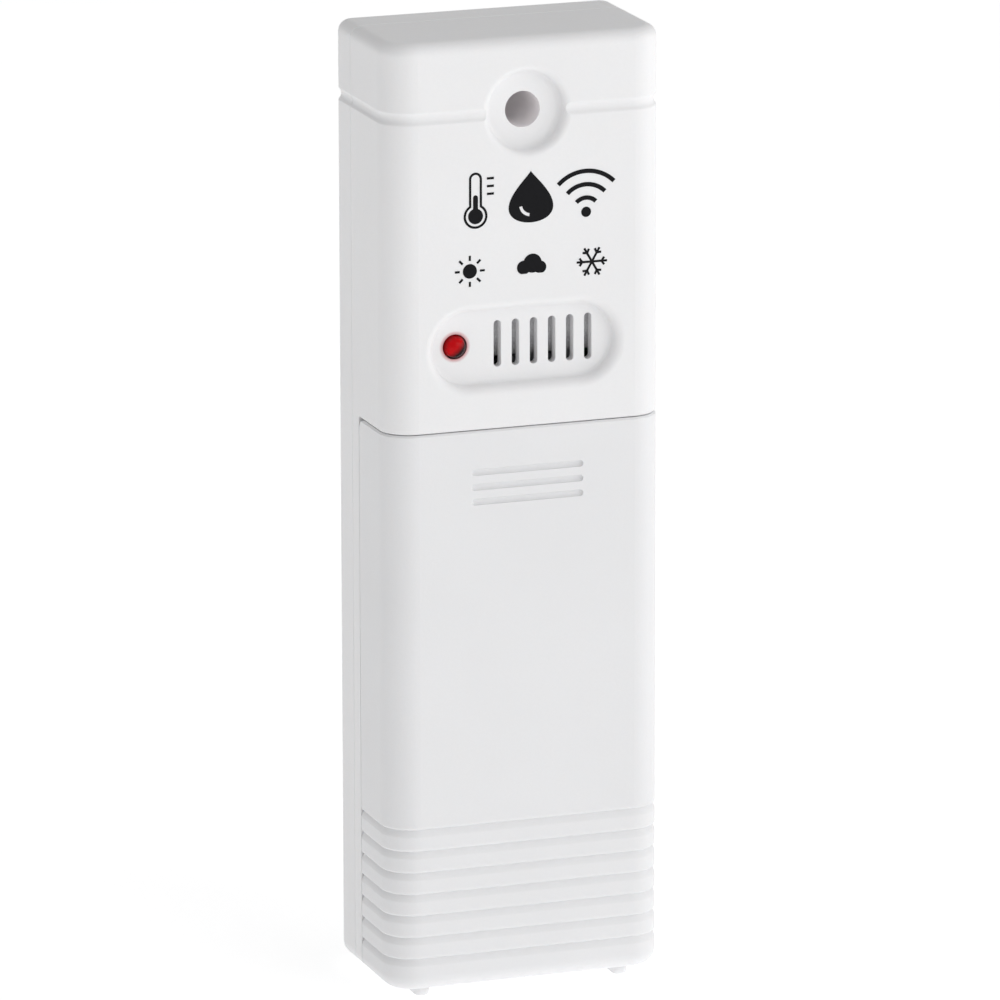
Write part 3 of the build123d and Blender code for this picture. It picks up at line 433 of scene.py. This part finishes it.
can_top = behind(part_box("buffer_capacitor")[1].y - 0.25 * MM)
dress(part_metal("capacitor_sleeve", (0.030, 0.034, 0.060), 0.34, can_top), "buffer_capacitor")
dress(moulded("chip_resistor", (0.025, 0.025, 0.028), 0.4, 0.3 * MM), "chip_resistors")
dress(moulded("ceramic_tan", (0.46, 0.33, 0.20), 0.42, 0.4 * MM), "ceramic_capacitors")
switch_feet = outside("X", middle_of("transmit_switch_body").x, 3.05 * MM)
dress(part_metal("switch_black", (0.025, 0.025, 0.027), 0.42, switch_feet), "transmit_switch_body")
dress(
    moulded("knob_black", (0.030, 0.030, 0.032), 0.4, 0.3 * MM),
    "transmit_switch_plunger", "channel_switch_knob",
)
dress(moulded("button_grey", (0.26, 0.27, 0.29), 0.45, 0.3 * MM), "transmit_button")
dress(metal("switch_shell", (0.74, 0.74, 0.75), 0.28, stretch=(0.1, 1, 1)), "channel_switch_body")

INK = ink("print_ink")


# ---- printed marks -------------------------------------------------------------------------
INK_T = 0.03 * MM
ARC_STEPS = 24


def turn(point, angle):
    """A point turned about the origin."""
    c, s = math.cos(angle), math.sin(angle)
    return (point[0] * c - point[1] * s, point[0] * s + point[1] * c)


def arc(centre, radius, start, end, steps=ARC_STEPS):
    """Points along a round stretch, from one angle to another, in degrees."""
    angles = [math.radians(start + (end - start) * i / steps) for i in range(steps + 1)]
    return [(centre[0] + radius * math.cos(a), centre[1] + radius * math.sin(a)) for a in angles]


def bar(centre, width, height):
    """A rectangle's corners."""
    x, y = centre
    a, b = width / 2, height / 2
    return [(x - a, y - b), (x + a, y - b), (x + a, y + b), (x - a, y + b)]


def tube_outline(bulb_r, stem_r, top):
    """A thermometer's outline: a round bulb about the origin, with a stem up to a round top."""
    meet = math.degrees(math.asin(stem_r / bulb_r))
    bulb = arc((0, 0), bulb_r, 90 + meet, 450 - meet)
    return bulb + arc((0, top), stem_r, 0, 180)


def thermometer(size):
    """Outline tube with a filled bulb and column, and short scale marks beside it."""
    bulb, stem, line, top = 0.24 * size, 0.13 * size, 0.045 * size, 0.72 * size
    marks = [bar((0.30 * size, top - i * 0.15 * size), 0.14 * size, line) for i in range(3)]
    inside = tube_outline(bulb - 2 * line, stem - 1.8 * line, 0.36 * size)
    shapes = [tube_outline(bulb, stem, top), tube_outline(bulb - line, stem - line, top), inside, *marks]
    return [[(x, y - 0.30 * size) for x, y in shape] for shape in shapes]


def teardrop(size, steps=60):
    """A drop with its point up, centred on the origin."""
    points = []
    for i in range(steps):
        t = 2 * math.pi * i / steps
        points.append((0.62 * size * math.sin(t) * math.sin(t / 2) ** 1.3, 0.5 * size * math.cos(t)))
    return points


def droplet(size):
    """A filled drop with a bright crescent low on one side."""
    outer = arc((0, -0.14 * size), 0.24 * size, 190, 262, 12)
    inner = arc((0, -0.14 * size), 0.18 * size, 262, 190, 12)
    return [teardrop(size), outer + inner]


def waves(size):
    """A dot with three arcs spreading up from it."""
    line = 0.085 * size
    centre = (0, -0.38 * size)
    shapes = [arc(centre, 0.10 * size, 0, 345)]
    for i in range(3):
        radius = (0.32 + 0.26 * i) * size
        shapes.append(arc(centre, radius, 45, 135) + arc(centre, radius - line, 135, 45))
    return shapes


def sun(size):
    """A disc with eight rays."""
    ray = bar((0.41 * size, 0), 0.16 * size, 0.07 * size)
    rays = [[turn(p, math.radians(45 * i)) for p in ray] for i in range(8)]
    return [arc((0, 0), 0.23 * size, 0, 352), *rays]


def cloud(size, steps=90):
    """Three round heads over a flat base, as seen from a point inside all of them."""
    heads = ((-0.24, -0.02, 0.22), (0.05, 0.10, 0.30), (0.30, -0.04, 0.20))
    base = -0.22
    points = []
    for i in range(steps):
        a = 2 * math.pi * i / steps
        dx, dy = math.cos(a), math.sin(a)
        reach = 0.0
        for x, y, r in heads:
            along = x * dx + y * dy
            inside = r * r - (x * x + y * y - along * along)
            if inside > 0:
                reach = max(reach, along + math.sqrt(inside))
        if dy < 0:
            reach = min(reach, base / dy)
        points.append((reach * dx * size, reach * dy * size))
    return [points]


def snowflake(size):
    """Six arms, each with a pair of small branches at its end."""
    w, length, twig = 0.035 * size, 0.50 * size, 0.13 * size
    fork = 0.30 * size
    slant = turn((1, 0), math.radians(55))
    edge = (-slant[1] * 2 * w, slant[0] * 2 * w)
    start = (fork, w)
    tip = (start[0] + twig * slant[0], start[1] + twig * slant[1])
    back = (tip[0] - edge[0], tip[1] - edge[1])
    root = (start[0] - edge[0] - (start[1] - edge[1] - w) * slant[0] / slant[1], w)
    upper = [(length, w), root, back, tip, start]
    arm = [(x, -y) for x, y in reversed(upper)] + upper
    points = []
    for i in range(6):
        points += [turn(p, math.radians(60 * i)) for p in arm]
        points.append(turn((2 * w, 0), math.radians(60 * i + 30)))
    return [points]


def ribbon(points, width):
    """A line of even width along points, as one closed outline."""
    sides = ([], [])
    for i, (x, y) in enumerate(points):
        before, after = points[max(i - 1, 0)], points[min(i + 1, len(points) - 1)]
        dx, dy = after[0] - before[0], after[1] - before[1]
        scale = width / 2 / math.hypot(dx, dy)
        sides[0].append((x - dy * scale, y + dx * scale))
        sides[1].append((x + dy * scale, y - dx * scale))
    return sides[0] + sides[1][::-1]


def digit(number):
    """A plain 1, 2 or 3, drawn to a height."""
    strokes = {
        1: [(-0.20, 0.30), (0.02, 0.46), (0.02, -0.46)],
        2: arc((0, 0.22), 0.24, 170, -35, 12) + [(-0.24, -0.42), (0.26, -0.42)],
        3: arc((0, 0.22), 0.22, 165, -80, 12) + arc((0, -0.22), 0.24, 80, -165, 12),
    }

    def draw(size):
        return [[(x * size, y * size) for x, y in ribbon(strokes[number], 0.14)]]

    return draw


def plus_sign(size):
    """A cross of two equal bars."""
    a, b = size / 2, 0.11 * size
    corner = [(b, b), (b, a), (-b, a)]
    return [[turn(p, math.radians(90 * i)) for i in range(4) for p in corner]]


def minus_sign(size):
    """One level bar."""
    return [bar((0, 0), size, 0.22 * size)]


def flat_print(name, outlines, place, material, body):
    """Thin ink on a face that looks towards -Y: outlines are in metres, right and up."""
    curve = bpy.data.curves.new(name, "CURVE")
    curve.dimensions = "2D"
    curve.fill_mode = "BOTH"
    curve.extrude = INK_T / 2
    for outline in outlines:
        spline = curve.splines.new("POLY")
        spline.points.add(len(outline) - 1)
        for point, (x, y) in zip(spline.points, outline):
            point.co = (x, y, 0, 1)
        spline.use_cyclic_u = True
    holder = bpy.data.objects.new(f"{name}_outline", curve)
    mesh = bpy.data.meshes.new_from_object(holder)
    bpy.data.objects.remove(holder)
    bpy.data.curves.remove(curve)
    mesh.transform(Matrix.Translation(place) @ Matrix.Rotation(math.pi / 2, 4, "X"))
    return finished(name, mesh, material, body)


def finished(name, mesh, material, body):
    """Welds a print's mesh, faces it outwards, gives it its ink and slot, and rides it on its body."""
    work = bmesh.new()
    work.from_mesh(mesh)
    bmesh.ops.remove_doubles(work, verts=work.verts, dist=1e-7)
    bmesh.ops.recalc_face_normals(work, faces=work.faces)
    work.to_mesh(mesh)
    work.free()
    mesh.materials.clear()
    mesh.materials.append(material)
    piece = bpy.data.objects.new(name, mesh)
    mesh.name = name
    bpy.context.scene.collection.objects.link(piece)
    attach(piece, body)
    return piece


hole_z = HOLE["pos_m"][2]
print_span = hole_z - LAMP.z
PRINT_X = 0.5 * MM
LARGE = (("thermometer", thermometer), ("droplet", droplet), ("radio_waves", waves))
SMALL = (("sun", sun), ("cloud", cloud), ("snowflake", snowflake))
# Each row: its signs, their size and pitch, and how far down it is from the hole towards the lamp.
ROWS = ((LARGE, 6.8 * MM, 7.6 * MM, 0.365), (SMALL, 4.2 * MM, 8.4 * MM, 0.665))
for signs, size, pitch, way_down in ROWS:
    row_z = hole_z - way_down * print_span
    for i, (sign, draw) in enumerate(signs):
        spot = Vector((PRINT_X + (i - 1) * pitch, FRONT_Y - INK_T / 2, row_z))
        flat_print(f"printed_{sign}", draw(size), spot, INK, "housing")


DECK_Y = FRONT_Y + 3.2 * MM
BUTTON, KNOB = middle_of("transmit_button"), middle_of("channel_switch_knob")
CELL_X = middle_of("battery_right").x
CHANNEL_STEP = 2 * MM
ABOVE_Z, BELOW_Z = BUTTON.z + 3.1 * MM, BUTTON.z - 4.2 * MM
CHANNEL_MARKS = [
    (f"mark_channel_{n}", digit(n), 1.3 * MM, KNOB.x + (n - 1) * CHANNEL_STEP, ABOVE_Z) for n in (1, 2, 3)
]
DECK_MARKS = (
    ("mark_transmit", waves, 1.7 * MM, BUTTON.x, ABOVE_Z + 0.05 * MM),
    *CHANNEL_MARKS,
    ("mark_cell_plus", plus_sign, 1.6 * MM, -CELL_X, BELOW_Z),
    ("mark_cell_minus", minus_sign, 1.6 * MM, CELL_X, BELOW_Z),
)
for name, draw, size, x, z in DECK_MARKS:
    flat_print(name, draw(size), Vector((x, DECK_Y - INK_T / 2, z)), INK, "housing")


# ---- stage, light and camera ----------------------------------------------------------------
def pale_floor():
    """A wide pale sheet under the feet, glowing a little, as a light table does."""
    half = 6.0
    mesh = bpy.data.meshes.new("floor")
    corners = [(-half, -half, 0), (half, -half, 0), (half, half, 0), (-half, half, 0)]
    mesh.from_pydata(corners, [], [(0, 1, 2, 3)])
    floor = bpy.data.objects.new("floor", mesh)
    bpy.context.scene.collection.objects.link(floor)
    g = Graph("floor_pale")
    g.colour(g.blend(g.noise(0.8), (0.93, 0.93, 0.935), (0.95, 0.95, 0.95)))
    g.fixed(Roughness=0.9, Emission_Color=(1, 1, 1, 1), Emission_Strength=0.46)
    mesh.materials.append(g.material)


def soft_sky(horizon, zenith, left):
    """Even white light from all round, a little weaker from above and from the left."""
    world = bpy.data.worlds.new("studio")
    bpy.context.scene.world = world
    world.use_nodes = True
    tree = world.node_tree
    split = tree.nodes.new("ShaderNodeSeparateXYZ")
    spread = tree.nodes.new("ShaderNodeMapRange")
    tree.links.new(tree.nodes.new("ShaderNodeTexCoord").outputs["Generated"], split.inputs["Vector"])
    tree.links.new(split.outputs["Z"], spread.inputs["Value"])
    spread.inputs["To Min"].default_value = horizon
    spread.inputs["To Max"].default_value = zenith
    sideways = tree.nodes.new("ShaderNodeMapRange")
    tree.links.new(split.outputs["X"], sideways.inputs["Value"])
    sideways.inputs["From Min"].default_value = -1.0
    sideways.inputs["From Max"].default_value = 0.0
    sideways.inputs["To Min"].default_value = left
    sideways.inputs["To Max"].default_value = 1.0
    strength = tree.nodes.new("ShaderNodeMath")
    strength.operation = "MULTIPLY"
    tree.links.new(spread.outputs["Result"], strength.inputs[0])
    tree.links.new(sideways.outputs["Result"], strength.inputs[1])
    tree.links.new(strength.outputs["Value"], tree.nodes["Background"].inputs["Strength"])
    tree.nodes["Background"].inputs["Color"].default_value = (1, 1, 1, 1)


def way_to(azimuth, elevation):
    """Unit vector from the object towards a viewer. Azimuth 0 is in front, 90 to its right, in degrees."""
    a, e = math.radians(azimuth), math.radians(elevation)
    return Vector((math.sin(a) * math.cos(e), -math.cos(a) * math.cos(e), math.sin(e)))


def soft_box(name, azimuth, elevation, power):
    """A square lamp of 0.9 m, 1.3 m away, that looks at the object's middle. Power is in watts."""
    distance = 1.3
    lamp = bpy.data.lights.new(name, "AREA")
    lamp.size = 0.9
    lamp.energy = power
    holder = bpy.data.objects.new(name, lamp)
    way = way_to(azimuth, elevation)
    holder.location = MIDDLE + distance * way
    holder.rotation_mode = "QUATERNION"
    holder.rotation_quaternion = way.to_track_quat("Z", "Y")
    bpy.context.scene.collection.objects.link(holder)


def long_lens_camera():
    """A camera to the left and above, level but for a slight roll, far off behind a long lens."""
    roll = math.radians(-0.11)
    lens = 325.7
    distance = 1.1892
    aim = MIDDLE + Vector((-0.03 * MM, 0, 0.16 * MM))
    way = way_to(-19.68, 14.31)
    camera = bpy.data.cameras.new("camera")
    camera.lens = lens
    camera.clip_start = 0.05
    holder = bpy.data.objects.new("camera", camera)
    holder.rotation_mode = "QUATERNION"
    holder.rotation_quaternion = way.to_track_quat("Z", "Y") @ Matrix.Rotation(roll, 4, "Z").to_quaternion()
    holder.location = aim + distance * way
    bpy.context.scene.collection.objects.link(holder)
    bpy.context.scene.camera = holder


pale_floor()
soft_sky(horizon=0.57, zenith=0.55, left=0.74)
soft_box("key", azimuth=30, elevation=25, power=3.1)
soft_box("side", azimuth=75, elevation=8, power=3.6)
long_lens_camera()
bpy.context.scene.view_settings.view_transform = "Standard"
